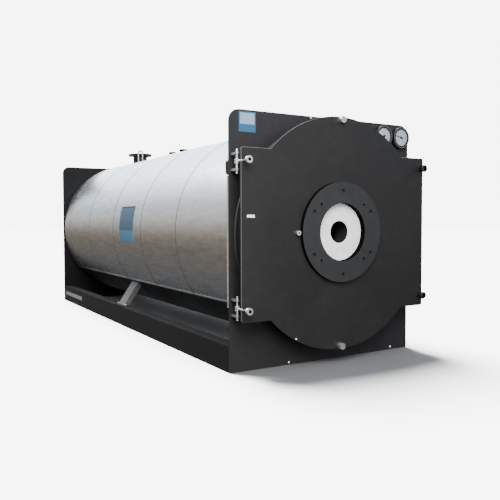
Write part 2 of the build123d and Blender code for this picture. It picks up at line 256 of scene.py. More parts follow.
def ceramic_fibre(name):
    """Ceramic fibre board: off-white and matt, with matted fibres, and painted near-black within the pilot
    bore as shade of the hole.
    """
    material, tree, shader = new_material(name, "e4e2dd", 0.97, specular=0.1)
    place = piece_place(tree)
    fibres = noise(tree, place, 6, 8.0, Distortion=1.6)
    board = blend(tree, noise(tree, place, 25, 6.0), rgb("c4c3c0"), rgb("f4f4f3"))
    offset = add(tree, "ShaderNodeVectorMath", {0: place, 1: (0, 0, BURNER_Z)}, operation="SUBTRACT")
    flat = add(tree, "ShaderNodeVectorMath", {0: offset.outputs[0], 1: (1, 0, 1)}, operation="MULTIPLY")
    distance = add(tree, "ShaderNodeVectorMath", {0: flat.outputs[0]}, operation="LENGTH").outputs["Value"]
    # Painted shade: the board is near-black within the pilot bore's radius, for the dark of the hole.
    pilot_bore_shade_r = PILOT_R + 0.001
    pilot_bore_shade = add(tree, "ShaderNodeMath", {0: distance, 1: pilot_bore_shade_r}, operation="LESS_THAN").outputs[0]
    tone = blend(tree, pilot_bore_shade, board, rgb("1c1a19"))
    wire(tree, shader, tone, bump=emboss(tree, fibres, 0.6, 0.0025))
    return material


def fibre_rope(name):
    """Braided glass-fibre packing: pale, with strands crossing every 6 mm."""
    material, tree, shader = new_material(name, "c9c4b6", 0.9, specular=0.2)
    braid = cells(tree, piece_place(tree), 6, distance="MANHATTAN")
    tone = blend(tree, braid, rgb("d8d4c8"), rgb("9c9687"))
    wire(tree, shader, tone, bump=emboss(tree, braid, 0.7, 0.0015, invert=True))
    return material


def enamel(name, colour, roughness=0.25, specular=0.5):
    """Stove enamel or printed film on a thin plate: an even colour with a faint uneven gloss."""
    material, tree, shader = new_material(name, colour, roughness, specular=specular)
    clouds = noise(tree, piece_place(tree), 30, 4.0)
    tone = blend(tree, clouds, rgb(colour), rgb(colour, 0.88))
    wire(tree, shader, tone, remap(tree, clouds, 0.3, 0.7, roughness, roughness + 0.12))
    return material


def weld_bead(name):
    """A painted fillet weld: black, with the ripples that each pass leaves."""
    material, tree, shader = new_material(name, "202022", 0.5, specular=0.4)
    ripples = noise(tree, piece_place(tree), 5, 2.0)
    tone = blend(tree, ripples, rgb("1a1a1b"), rgb("2b2b2d"))
    wire(tree, shader, tone, bump=emboss(tree, ripples, 0.6, 0.0015))
    return material


def dead_black(name, colour):
    """Matt black for painted shade in holes and hollows, or for black plastic: no gloss, and hardly any light
    comes back.
    """
    material, tree, shader = new_material(name, colour, 0.9, specular=0.0)
    mottle = noise(tree, piece_place(tree), 12, 4.0)
    wire(tree, shader, blend(tree, mottle, rgb(colour), rgb("080808")))
    return material


def dial_glass(name):
    """Flat sight glass: clear, with only its gloss to be seen."""
    material, _, shader = new_material(name, "000000", 0.04)
    shader.inputs["Alpha"].default_value = 0.08
    material.surface_render_method = "BLENDED"
    return material


FRAME_PAINT = satin_black("satin_black_frame", "1f1e1f", 0.45)
DOOR_PAINT = satin_black("satin_black_door", "1c1b1b", 0.45)
# The door's black, made a little lighter on the burner flange as a painted highlight of its glint.
FLANGE_PAINTED_HIGHLIGHT = satin_black("flange_black_painted_highlight", "242425", 0.45)
STRUT_PAINT = satin_black("grey_strut_paint", "4e4d4b", 0.5)
# The frame's black, made darker on the rails and the underside cover as painted shade under the shell.
RAIL_PAINT_SHADED = satin_black("satin_black_painted_shade_rails", "111112", 0.5)
# The frame's black, made darker on the rear plate as painted shade.
REAR_PAINT_SHADED = satin_black("satin_black_painted_shade_rear", "090808", 0.5)
ALUMINIUM = stucco_aluminium("stucco_aluminium")
BOILER_PLATE = mill_steel("mill_scale_steel", "55504c", "3a3635")
REFRACTORY = cast_refractory("cast_refractory")
FIBRE = ceramic_fibre("ceramic_fibre_board")
ROPE = fibre_rope("glass_fibre_rope")
ZINC = turned_steel("zinc_plated_steel", "e6e7e8", "cfcfca", 0.42)
LUG_STEEL = turned_steel("dull_zinc_plate", "bdbbb6", "a3a19b", 0.42)
BARE_BAR = turned_steel("bare_round_bar", "c6c6c6", "8f8d8a", 0.34)
BOLT_BLACK = satin_black("black_bolt_paint", "121213", 0.35)
PRIMER = satin_black("dark_primer", "1c1a1b", 0.55)
CASE_STEEL = turned_steel("bright_gauge_case", "8e8e8e", "747474", 0.22)
DIAL_WHITE = enamel("white_dial_enamel", "b4bac2")
# Black print on the dials, also used for the painted shade ring round each dial's edge.
DIAL_PRINT_AND_SHADE = enamel("black_dial_print_and_shade", "0c0c0c", 0.6)
GLASS = dial_glass("dial_glass")
PLATE_BLUE = enamel("blue_plate_enamel", "2c5577", 0.4, 0.2)
PLATE_PALE = enamel("pale_blue_plate_enamel", "7e8fa0", 0.4, 0.2)
PLATE_DULL = enamel("grey_blue_plate_enamel", "3b5667", 0.4, 0.2)
PLATE_BAND = enamel("light_blue_plate_enamel", "4d7391", 0.4, 0.2)
PLATE_DARK = enamel("dark_plate_enamel", "14242f", 0.4, 0.2)
LABEL = enamel("blank_white_film", "ecebe6", 0.4)
STRIP_GREY = enamel("grey_plate_enamel", "8b8c88", 0.4)
WELD = weld_bead("painted_weld")
# A lighter grey on edges that face the light: a painted highlight.
EDGE_HIGHLIGHT = enamel("painted_edge_highlight", "58585a", 0.4)
# A dark strip at each cladding seam: a painted shadow.
SEAM_SHADOW = enamel("painted_seam_shadow", "3a3937", 0.6)
# Painted shade: near-black for the dark inside holes, bores and hollows, on the flange's shaded wall, and in
# the peep sight's glass.
PAINTED_SHADE = dead_black("painted_shade_black", "0b0a0a")
PLASTIC_BLACK = dead_black("black_thread_guard", "101010")
BRIGHT_RIM = enamel("bright_sight_rim", "b8b8b8", 0.3)

# Nodes whose look in the photograph differs from that of their slot.
# The rails, underside cover and rear plate have the black paint made darker as painted shade, and the burner
# flange has it made lighter as a painted highlight.
NODE_MATERIALS = {
    "burner_flange": FLANGE_PAINTED_HIGHLIGHT,
    "base_rail_left": RAIL_PAINT_SHADED,
    "base_rail_right": RAIL_PAINT_SHADED,
    "underside_cover": RAIL_PAINT_SHADED,
    "rear_plate": REAR_PAINT_SHADED,
    "strut_left": STRUT_PAINT,
    "strut_right": STRUT_PAINT,
    "crown_socket_1": PRIMER,
    "crown_socket_2": PRIMER,
    "upper_hinge_lugs": LUG_STEEL,
    "lower_hinge_lugs": LUG_STEEL,
    "edge_trim_left": ZINC,
    "edge_trim_right": ZINC,
}
SLOT_MATERIALS = {
    "black_frame": FRAME_PAINT,
    "black_door": DOOR_PAINT,
    "aluminium_cladding": ALUMINIUM,
    "raw_steel": BOILER_PLATE,
    "door_seal": ROPE,
    "refractory": REFRACTORY,
    "ceramic_fibre": FIBRE,
    "zinc_fittings": ZINC,
    "black_bolts": BOLT_BLACK,
    "red_primer": PRIMER,
    "loop_steel": BARE_BAR,
    "gauge": CASE_STEEL,
}


def dress_nodes():
    """Give every solid of the CAD model its material."""
    for entry in frame["record"]["subparts"]:
        thing = nodes[entry["node"]]
        material = NODE_MATERIALS.get(entry["node"]) or SLOT_MATERIALS[entry["material_slot"]]
        if not thing.material_slots:
            thing.data.materials.append(material)
        for slot in thing.material_slots:
            slot.link = "OBJECT"
            slot.material = material


# Shapes.
FRONT = Vector((0, -1, 0))
REAR = Vector((0, 1, 0))
UP = Vector((0, 0, 1))


def at(x, depth, z):
    """The point at this distance sideways, depth behind the front plate's face, and height."""
    return Vector((x, FACE_Y + depth, z))


def round_shell(radius, angle, depth):
    """The point on a cylinder about the boiler's axis, with its angle seen from the front."""
    return at(radius * math.cos(angle), depth, AXIS_Z + radius * math.sin(angle))


def outward(angle):
    """The direction away from the boiler's axis at this angle."""
    return Vector((math.cos(angle), 0, math.sin(angle)))


def lathe(bm, profile, foot, axis, steps=24, turn=0.0):
    """Add a solid turned about an axis from its foot: the profile lists (distance along the axis, radius)."""
    axis = axis.normalized()
    side = axis.orthogonal().normalized()
    other = axis.cross(side)
    rings = []
    for distance, radius in profile:
        centre = foot + axis * distance
        if radius == 0:
            rings.append([bm.verts.new(centre)])
            continue
        circle = []
        for step in range(steps):
            angle = turn + step * 2 * math.pi / steps
            circle.append(bm.verts.new(centre + (side * math.cos(angle) + other * math.sin(angle)) * radius))
        rings.append(circle)
    for lower, upper in zip(rings, rings[1:]):
        for step in range(steps):
            after = (step + 1) % steps
            corners = [lower[step % len(lower)], lower[after % len(lower)]]
            corners += [upper[after % len(upper)], upper[step % len(upper)]]
            bm.faces.new(list(dict.fromkeys(corners)))


def disc(bm, foot, axis, radius, thickness, steps=24):
    """Add a thin round plate."""
    lathe(bm, [(0, 0), (0, radius), (thickness, radius), (thickness, 0)], foot, axis, steps)


def ring(bm, foot, axis, inner, outer, thickness, steps=48):
    """Add a flat ring."""
    profile = [(0, inner), (0, outer), (thickness, outer), (thickness, inner), (0, inner)]
    lathe(bm, profile, foot, axis, steps)


def hexagon(bm, foot, axis, across, height, turn=0.0):
    """Add a hexagonal bolt head on its washer, with a chamfered top."""
    corner_r, washer_r = across / math.sqrt(3), across * 0.56
    washer, chamfer = 0.12 * height, 0.1 * height
    disc(bm, foot, axis, washer_r, washer)
    profile = [(washer, 0), (washer, corner_r), (height - chamfer, corner_r)]
    profile += [(height, corner_r * 0.88), (height, 0)]
    lathe(bm, profile, foot, axis, steps=6, turn=turn)


def dome(bm, foot, axis, radius, height):
    """Add a low domed rivet or screw head."""
    profile = [(0, 0), (0, radius), (0.55 * height, 0.8 * radius), (0.9 * height, 0.4 * radius), (height, 0)]
    lathe(bm, profile, foot, axis, steps=12)


def socket_screw(bm, foot, axis, radius, height):
    """Add a low socket screw head, open round its recess."""
    socket_r, socket_floor, rim = 0.55 * radius, 0.25 * height, height - 0.15 * radius
    profile = [(0, 0), (0, radius), (rim, radius), (height, 0.9 * radius)]
    profile += [(height, socket_r), (socket_floor, socket_r), (socket_floor, 0)]
    lathe(bm, profile, foot, axis, steps=20)


def block(bm, low, high):
    """Add a box between two corners."""
    xs, ys, zs = zip(low, high)
    corners = [bm.verts.new((x, y, z)) for x in xs for y in ys for z in zs]
    for face in ((0, 1, 3, 2), (4, 6, 7, 5), (0, 4, 5, 1), (2, 3, 7, 6), (0, 2, 6, 4), (1, 5, 7, 3)):
        bm.faces.new([corners[index] for index in face])


def prism(bm, near, far):
    """Add a solid between two outlines that have their corners in the same order."""
    first_face = [bm.verts.new(corner) for corner in near]
    last_face = [bm.verts.new(corner) for corner in far]
    bm.faces.new(first_face)
    bm.faces.new(last_face[::-1])
    for index in range(len(near)):
        after = (index + 1) % len(near)
        bm.faces.new((first_face[index], last_face[index], last_face[after], first_face[after]))


def curved_sheet(bm, radius, thickness, angles, depths, columns=32, rows=4):
    """Add a sheet that lies on a cylinder about the boiler's axis, between two angles and two depths."""
    layers = []
    for level in (radius, radius + thickness):
        grid = []
        for column in range(columns + 1):
            angle = angles[0] + (angles[1] - angles[0]) * column / columns
            line = []
            for row in range(rows + 1):
                depth = depths[0] + (depths[1] - depths[0]) * row / rows
                line.append(bm.verts.new(round_shell(level, angle, depth)))
            grid.append(line)
        layers.append(grid)
    for grid in layers:
        for line, following in zip(grid, grid[1:]):
            for row in range(rows):
                bm.faces.new((line[row], following[row], following[row + 1], line[row + 1]))
    border = [(column, 0) for column in range(columns)]
    border += [(columns, row) for row in range(rows)]
    border += [(column, rows) for column in range(columns, 0, -1)]
    border += [(0, row) for row in range(rows, 0, -1)]
    inner, outer = layers
    for (a, b), (c, d) in zip(border, border[1:] + border[:1]):
        bm.faces.new((inner[a][b], inner[c][d], outer[c][d], outer[a][b]))


def crown_rosette(bm, x, depth, inner, outer, steps=48):
    """Add a thin round collar that follows the cladding round an upright pipe."""
    layers = []
    for level in (CLADDING_R, CLADDING_R + SHEET_THICKNESS):
        for radius in (inner, outer):
            circle = []
            for step in range(steps):
                angle = step * 2 * math.pi / steps
                side = x + radius * math.cos(angle)
                height = math.sqrt(level**2 - side**2)
                circle.append(bm.verts.new(at(side, depth + radius * math.sin(angle), AXIS_Z + height)))
            layers.append(circle)
    low_in, low_out, high_in, high_out = layers
    for first, second in ((high_in, high_out), (low_out, low_in), (low_in, high_in), (high_out, low_out)):
        for step in range(steps):
            after = (step + 1) % steps
            bm.faces.new((first[step], first[after], second[after], second[step]))


def piece(name, bm, material, body="boiler", smooth=True):
    """Turn a finished mesh into a piece that rides on a body, with its edges over 35 degrees kept sharp."""
    bmesh.ops.recalc_face_normals(bm, faces=bm.faces)
    mesh = bpy.data.meshes.new(name)
    bm.to_mesh(mesh)
    bm.free()
    if smooth:
        mesh.polygons.foreach_set("use_smooth", [True] * len(mesh.polygons))
        mesh.set_sharp_from_angle(angle=math.radians(35))
    mesh.materials.append(material)
    thing = bpy.data.objects.new(name, mesh)
    bpy.context.collection.objects.link(thing)
    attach(thing, body)


# Cladding details.
def cladding_hems():
    """The folded edges of the sheets, along the whole boiler on both sides."""
    hems = bmesh.new()
    span = (CLADDING_START, CLADDING_END)
    for angles in ((LEFT_EDGE, LEFT_EDGE - HEM_WIDTH), (RIGHT_EDGE, RIGHT_EDGE + HEM_WIDTH)):
        curved_sheet(hems, CLADDING_R, HEM_THICKNESS, angles, span, columns=2, rows=20)
    piece("cladding_hems", hems, ALUMINIUM)


def cladding_rivets():
    """Rivets along both hems and along every lap."""
    rivet_r, rivet_height, hem_pitch, lap_pitch = 0.0035, 0.0012, 0.15, math.radians(12)
    hem_rivets = int((CLADDING_END - CLADDING_START) / hem_pitch)
    lap_rivets = int((LEFT_EDGE - RIGHT_EDGE) / lap_pitch)
    rivets = bmesh.new()
    for angle in (LEFT_EDGE - HEM_WIDTH / 2, RIGHT_EDGE + HEM_WIDTH / 2):
        for number in range(hem_rivets):
            foot = round_shell(CLADDING_R + HEM_THICKNESS, angle, CLADDING_START + hem_pitch * (number + 0.5))
            dome(rivets, foot, outward(angle), rivet_r, rivet_height)
    for seam in SEAMS:
        for number in range(lap_rivets):
            angle = RIGHT_EDGE + lap_pitch * (number + 0.7)
            foot = round_shell(CLADDING_R + SHEET_THICKNESS, angle, seam + LAP_WIDTH / 2)
            dome(rivets, foot, outward(angle), rivet_r, rivet_height)
    piece("cladding_rivets", rivets, ALUMINIUM)


def cladding_laps():
    """The lap of each band over the one before it, and a dark strip of painted shadow just in front of each
    seam.
    """
    bead_width, bead_thickness = 0.006, 0.0008
    span = (LEFT_EDGE, RIGHT_EDGE)
    laps, beads = bmesh.new(), bmesh.new()
    for seam in SEAMS:
        curved_sheet(laps, CLADDING_R, SHEET_THICKNESS, span, (seam, seam + LAP_WIDTH), columns=96, rows=1)
        curved_sheet(beads, CLADDING_R, bead_thickness, span, (seam - bead_width, seam), columns=96, rows=1)
    piece("cladding_laps", laps, ALUMINIUM)
    piece("cladding_seam_shadows", beads, SEAM_SHADOW)


def front_cover_sheets():
    """The short cover sheets behind the front plate, one on each side."""
    reach, half_angle = 0.285, math.radians(27.5)
    sheets = bmesh.new()
    for centre in (0, math.pi):
        angles = (centre - half_angle, centre + half_angle)
        curved_sheet(sheets, CLADDING_R, SHEET_THICKNESS, angles, (CLADDING_START, reach), rows=2)
    piece("front_cover_sheets", sheets, ALUMINIUM)


def crown_collars():
    """Collars on the cladding round the outlet, the sockets and the legs of the lifting loops."""
    nozzle_collar_r, socket_collar_width, leg_collar_r = 0.125, 0.03, 0.024
    collars = bmesh.new()
    crown_rosette(collars, 0, middle("outlet_nozzle").y - FACE_Y, NOZZLE_R + GAP, nozzle_collar_r)
    for name in ("crown_socket_1", "crown_socket_2"):
        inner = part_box(name)[1].x + GAP
        crown_rosette(collars, 0, middle(name).y - FACE_Y, inner, inner + socket_collar_width)
    low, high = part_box("lifting_loops")
    for leg_x in (low.x + LOOP_BAR_R, high.x - LOOP_BAR_R):
        for depth in (low.y - FACE_Y + LOOP_BAR_R, high.y - FACE_Y - LOOP_BAR_R):
            crown_rosette(collars, leg_x, depth, LOOP_BAR_R + GAP, leg_collar_r, steps=24)
    piece("crown_collars", collars, ALUMINIUM)


def crown_socket_guards():
    """The plastic guards over the threads of the crown sockets."""
    overhang, sleeve, height, step = 0.004, 0.012, 0.008, 0.001
    guards = bmesh.new()
    for name in ("crown_socket_1", "crown_socket_2"):
        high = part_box(name)[1]
        foot = Vector((0, middle(name).y, high.z - sleeve))
        ring(guards, foot, UP, high.x + GAP, high.x + overhang, sleeve + height)
        ring(guards, foot + UP * (sleeve + step), UP, high.x - overhang, high.x + overhang, height - step)
    piece("crown_socket_guards", guards, PLASTIC_BLACK)


# Plates without any lettering, in the colours and places of the photograph.
def front_plate_blank():
    """The two-coloured plate at the upper left of the front plate."""
    left, right, bottom, top, split = -0.730, -0.616, 1.612, 1.729, 1.655
    rim, thickness, coat = 0.009, 0.0015, 0.0006
    back = bmesh.new()
    block(back, at(left - rim, -thickness, bottom - rim), at(right + rim, 0, top + rim))
    piece("front_plate_blank", back, PLATE_BLUE)
    for name, low, high, material in (("blue", bottom, split, PLATE_BLUE), ("pale", split, top, PLATE_PALE)):
        field = bmesh.new()
        block(field, at(left, -thickness - coat, low), at(right, -thickness, high))
        piece(f"front_plate_blank_{name}", field, material)


def side_plate_blank():
    """The banded plate on the left of the cladding."""
    span, thickness = (1.781, 2.141), 0.002
    heights = {"top": 1.152, "bar": 1.138, "split": 0.925, "bottom": 0.815}
    angles = {key: math.pi - math.asin((z - AXIS_Z) / CLADDING_R) for key, z in heights.items()}
    for name, first, second, material in (
        ("bar", "top", "bar", PLATE_DARK),
        ("dull", "bar", "split", PLATE_DULL),
        ("blue", "split", "bottom", PLATE_BAND),
    ):
        sheet = bmesh.new()
        curved_sheet(sheet, CLADDING_R, thickness, (angles[first], angles[second]), span, columns=12, rows=2)
        piece(f"side_plate_blank_{name}", sheet, material)


def rail_plate_blank():
    """The long narrow plate at the rear of the near rail."""
    start, end, bottom, top, thickness = 3.456, 4.150, 0.078, 0.122, 0.0015
    strip = bmesh.new()
    block(strip, at(-SIDE_X - thickness, start, bottom), at(-SIDE_X, end, top))
    piece("rail_plate_blank", strip, STRIP_GREY)


def door_label_blank():
    """The small label at the left of the door."""
    left, right, bottom, top = -0.772, -0.714, 1.034, 1.052
    label = bmesh.new()
    block(label, at(left, DOOR_FACE - FILM, bottom), at(right, DOOR_FACE, top))
    piece("door_label_blank", label, LABEL, body="door")


# Gauges.
DIAL_START = math.radians(225)
DIAL_SWEEP = math.radians(-270)
DIAL_COAT = 0.0004
DIAL_RIM_SHARE = 0.86


def flat_strip(bm, corners, thickness):
    """Add a thin flat strip that lies on a dial, from the corners of its rear face."""
    prism(bm, [corner + FRONT * thickness for corner in corners], corners)


def dial_face(name, dial_r, on_dial):
    """The white dial, and a dark ring round its edge that is painted shade of the bezel."""
    shade_depth = 0.003
    face, shade = bmesh.new(), bmesh.new()
    disc(face, on_dial(0, 0, 0), FRONT, dial_r, DIAL_COAT, steps=48)
    piece(f"{name}_dial", face, DIAL_WHITE)
    ring(shade, on_dial(0, 0, DIAL_COAT), FRONT, dial_r * DIAL_RIM_SHARE, dial_r, shade_depth)
    piece(f"{name}_shade_ring", shade, DIAL_PRINT_AND_SHADE)


def dial_graduations(name, dial_r, on_dial):
    """Long strokes at every fifth division and short ones between."""
    divisions, print_thickness = 50, 0.0002
    prints = bmesh.new()
    for division in range(divisions + 1):
        angle = DIAL_START + DIAL_SWEEP * division / divisions
        inner_share, half_width = (0.66, 0.0013) if division % 5 == 0 else (0.76, 0.0007)
        across = Vector((-math.sin(angle), 0, math.cos(angle))) * half_width
        near = on_dial(dial_r * inner_share, angle, DIAL_COAT)
        far = on_dial(dial_r * DIAL_RIM_SHARE, angle, DIAL_COAT)
        flat_strip(prints, [near - across, far - across, far + across, near + across], print_thickness)
    piece(f"{name}_graduations", prints, DIAL_PRINT_AND_SHADE)


def dial_number(name, number, place):
    """One printed number, centred on its place."""
    text = bpy.data.curves.new(name, "FONT")
    text.body = str(number)
    text.size = 0.013
    text.align_x = "CENTER"
    text.align_y = "CENTER"
    text.extrude = 0.0001
    thing = bpy.data.objects.new(name, text)
    thing.location = place
    thing.rotation_euler = (math.pi / 2, 0, 0)
    text.materials.append(DIAL_PRINT_AND_SHADE)
    bpy.context.collection.objects.link(thing)
    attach(thing, "boiler")


def dial_needle(name, dial_r, on_dial, turn):
    """The needle with its tail and hub."""
    tip_share, tail_share, tip_half, tail_half, thickness = 0.74, 0.25, 0.0015, 0.005, 0.0005
    lift, hub_r, hub_height, hub_chamfer = 0.0015, 0.010, 0.003, 0.001
    needle = bmesh.new()
    along = Vector((math.cos(turn), 0, math.sin(turn)))
    across = Vector((-along.z, 0, along.x))
    tip = on_dial(0, 0, lift) + along * dial_r * tip_share
    tail = on_dial(0, 0, lift) - along * dial_r * tail_share
    outline = [tail - across * tail_half, tip - across * tip_half]
    outline += [tip + across * tip_half, tail + across * tail_half]
    flat_strip(needle, outline, thickness)
    hub = [(0, 0), (0, hub_r), (hub_height - hub_chamfer, hub_r)]
    hub += [(hub_height, hub_r - 2 * hub_chamfer), (hub_height, 0)]
    lathe(needle, hub, on_dial(0, 0, DIAL_COAT), FRONT)
    piece(f"{name}_needle", needle, DIAL_PRINT_AND_SHADE)


def gauge_details(name, needle_turn, numbers):
    """Dial, graduations, numbers, needle and glass of one gauge."""
    side_gap, number_share, number_lift, glass_lift, glass_thickness = 0.0003, 0.52, 0.0006, 0.0036, 0.001
    low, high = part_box(name)
    centre = middle(name)
    dial_r = (high.x - low.x) / 2 - GAUGE_BEZEL - side_gap

    def on_dial(radius, angle, lift):
        across, rise = radius * math.cos(angle), radius * math.sin(angle)
        return Vector((centre.x + across, low.y + GAUGE_RECESS - lift, centre.z + rise))

    dial_face(name, dial_r, on_dial)
    dial_graduations(name, dial_r, on_dial)
    for index, number in enumerate(numbers):
        angle = DIAL_START + DIAL_SWEEP * index / (len(numbers) - 1)
        dial_number(f"{name}_number_{index}", number, on_dial(dial_r * number_share, angle, number_lift))
    dial_needle(name, dial_r, on_dial, needle_turn)
    pane = bmesh.new()
    disc(pane, on_dial(0, 0, glass_lift), FRONT, dial_r, glass_thickness, steps=48)
    piece(f"{name}_glass", pane, GLASS)


# Door.
def edge_bead(bm, outline):
    """Add the rounded front edge of the door along part of its outline, given as (x, height over the axis).
    """
    section = [(-0.002, 0.001), (-0.002, -0.0003), (-0.0005, -0.0008), (0.0008, 0.0005), (0.0003, 0.003)]
    loops = []
    for index, point in enumerate(outline):
        before, after = outline[max(index - 1, 0)], outline[min(index + 1, len(outline) - 1)]
        along = (Vector(after) - Vector(before)).normalized()
        sideways = Vector((-along.y, along.x))
        loop = []
        for outset, behind in section:
            place = Vector(point) + sideways * outset
            loop.append(bm.verts.new(at(place.x, DOOR_FACE + behind, AXIS_Z + place.y)))
        loops.append(loop)
    for first, second in zip(loops, loops[1:]):
        for corner in range(len(section)):
            following = (corner + 1) % len(section)
            bm.faces.new((first[corner], second[corner], second[following], first[following]))
    bm.faces.new(loops[0][::-1])
    bm.faces.new(loops[-1])


def arc(x, height, radius, start, end, steps):
    """Points along an arc about a centre, as (x, height over the axis)."""
    points = []
    for step in range(steps + 1):
        angle = start + (end - start) * step / steps
        points.append((x + radius * math.cos(angle), height + radius * math.sin(angle)))
    return points


def door_edge():
    """The door's front edge, where it faces up or left, in a lighter grey as a painted highlight."""
    right_end, rises = 0.690, 40
    ear_start = math.pi - math.asin(EAR_HALF_HEIGHT / DOOR_R)
    low_end = EAR_CORNER_R - EAR_HALF_HEIGHT
    rise = [(-DOOR_HALF_WIDTH, low_end + 2 * EAR_HALF_HEIGHT * step / rises) for step in range(rises - 1)]
    corner_x, corner_height = EAR_CORNER_R - DOOR_HALF_WIDTH, EAR_HALF_HEIGHT - EAR_CORNER_R
    corner = arc(corner_x, corner_height, EAR_CORNER_R, math.pi, math.pi / 2, 6)
    bead = bmesh.new()
    edge_bead(bead, rise + corner + arc(0, 0, DOOR_R, ear_start, math.pi / 2, 32))
    edge_bead(bead, [(-DOOR_R * math.cos(ear_start), EAR_HALF_HEIGHT), (right_end, EAR_HALF_HEIGHT)])
    piece("door_edge", bead, EDGE_HIGHLIGHT, body="door")


def burner_shades():
    """Painted shade: a black film on the burner flange's outer wall, and a black lining in its bore."""
    wall_coat, edge, bore_coat, into_wall, bore_depth = 0.0008, 0.001, 0.001, 0.0003, 0.043
    flange_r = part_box("burner_flange")[1].x
    width = DOOR_FACE - FLANGE_FACE - edge
    wall = bmesh.new()
    ring(wall, at(0, DOOR_FACE, BURNER_Z), FRONT, flange_r, flange_r + wall_coat, width, steps=96)
    piece("burner_flange_wall_shade", wall, PAINTED_SHADE, body="door")
    outer = BURNER_BORE_R + into_wall
    bore = bmesh.new()
    ring(bore, at(0, FLANGE_FACE + edge, BURNER_Z), REAR, outer - bore_coat, outer, bore_depth, steps=96)
    piece("burner_bore_shade", bore, PAINTED_SHADE, body="door")


def closing_knobs():
    """The wide heads of the right closing bolts, with a painted highlight on their edge and a dark disc of
    painted shade in their hollow.
    """
    knob_r, chamfer, rim_width, reach, hollow_r = 0.027, 0.002, 0.014, 0.012, 0.015
    low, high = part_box("closing_bolts_right")
    bolt_r = (high.x - low.x) / 2
    profile = [(0, 0), (0, knob_r - chamfer), (chamfer, knob_r), (rim_width, knob_r)]
    profile += [(rim_width + chamfer, bolt_r), (rim_width + chamfer, 0)]
    rims, hollows, edges = bmesh.new(), bmesh.new(), bmesh.new()
    for z in (low.z + bolt_r, high.z - bolt_r):
        face = at(middle("closing_bolts_right").x, low.y - FACE_Y - reach, z)
        lathe(rims, profile, face, REAR, steps=32)
        disc(hollows, face, FRONT, hollow_r, FILM)
        ring(edges, face, FRONT, knob_r - 2 * chamfer, knob_r - chamfer, FILM, steps=32)
    piece("closing_knob_rims", rims, BOLT_BLACK, body="door")
    piece("closing_knob_edge_highlights", edges, EDGE_HIGHLIGHT, body="door")
    piece("closing_knob_hollow_shades", hollows, PAINTED_SHADE, body="door")


def hinge_nut_hollows():
    """Dark discs of painted shade in the hollows of the eye bolts' nuts."""
    hollow_r = 0.011
    hollows = bmesh.new()
    for name in ("upper_hinge_bolt", "lower_hinge_bolt"):
        centre = middle(name)
        disc(hollows, Vector((centre.x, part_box(name)[0].y, centre.z)), FRONT, hollow_r, FILM)
    piece("hinge_nut_hollows", hollows, PAINTED_SHADE, body="door")


def peep_sight():
    """The bright rim and the dark glass of the peep sight."""
    rim_r, rim_height, glass_r, glass_thickness = 0.015, 0.002, 0.008, 0.0008
    centre = middle("peep_sight")
    centre.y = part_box("peep_sight")[0].y
    rim, pane = bmesh.new(), bmesh.new()
    ring(rim, centre, FRONT, glass_r, rim_r, rim_height, steps=32)
    disc(pane, centre, FRONT, glass_r, glass_thickness)
    piece("peep_sight_rim", rim, BRIGHT_RIM, body="door")
    # The glass is an opaque black disc of painted shade.
    piece("peep_sight_glass", pane, PAINTED_SHADE, body="door")


def hinge_block():
    """The small chamfered block behind the plate's edge, beside the upper hinge."""
    width, depth, height, chamfer, rise = 0.035, 0.035, 0.094, 0.010, 0.016
    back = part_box("front_plate")[1].y
    top = middle("upper_hinge_lugs").z + rise
    outline = [(0, -chamfer), (-chamfer, 0), (-width, 0)]
    outline += [(-width, -height), (-chamfer, -height), (0, chamfer - height)]
    near, far = ([(-SIDE_X - x, y, top + z) for x, z in outline] for y in (back, back + depth))
    body = bmesh.new()
    prism(body, near, far)
    piece("hinge_block", body, BOLT_BLACK, smooth=False)


# Bolts, screws and welds.
def burner_fasteners():
    """The screws of the burner flange, and its four stud holes as dark discs of painted shade."""
    screw_r, screw_height, stud_circle_r, stud_r = 0.011, 0.005, 0.272, 0.009

    def on_flange(radius, degrees):
        angle = math.radians(degrees)
        return at(radius * math.cos(angle), FLANGE_FACE, BURNER_Z + radius * math.sin(angle))

    heads, holes = bmesh.new(), bmesh.new()
    for degrees in range(30, 360, 60):
        socket_screw(heads, on_flange(BURNER_BOLT_CIRCLE_R, degrees), FRONT, screw_r, screw_height)
    piece("burner_flange_screws", heads, BOLT_BLACK, body="door")
    for degrees in range(45, 360, 90):
        disc(holes, on_flange(stud_circle_r, degrees), FRONT, stud_r, FILM)
    piece("burner_stud_hole_shades", holes, PAINTED_SHADE, body="door")


def plate_screws():
    """The few screw heads on the front plate and the door, where the photograph shows them."""
    plate_screw_r, plate_screw_height, door_screw_r, door_screw_height = 0.009, 0.006, 0.008, 0.005
    screws, door_screw = bmesh.new(), bmesh.new()
    for x, z in ((-0.331, 0.016), (0.643, 0.019), (-0.140, 1.738)):
        dome(screws, at(x, 0, z), FRONT, plate_screw_r, plate_screw_height)
    piece("front_plate_screws", screws, ZINC)
    dome(door_screw, at(-0.382, DOOR_FACE, 0.212), FRONT, door_screw_r, door_screw_height)
    piece("door_screw", door_screw, ZINC, body="door")


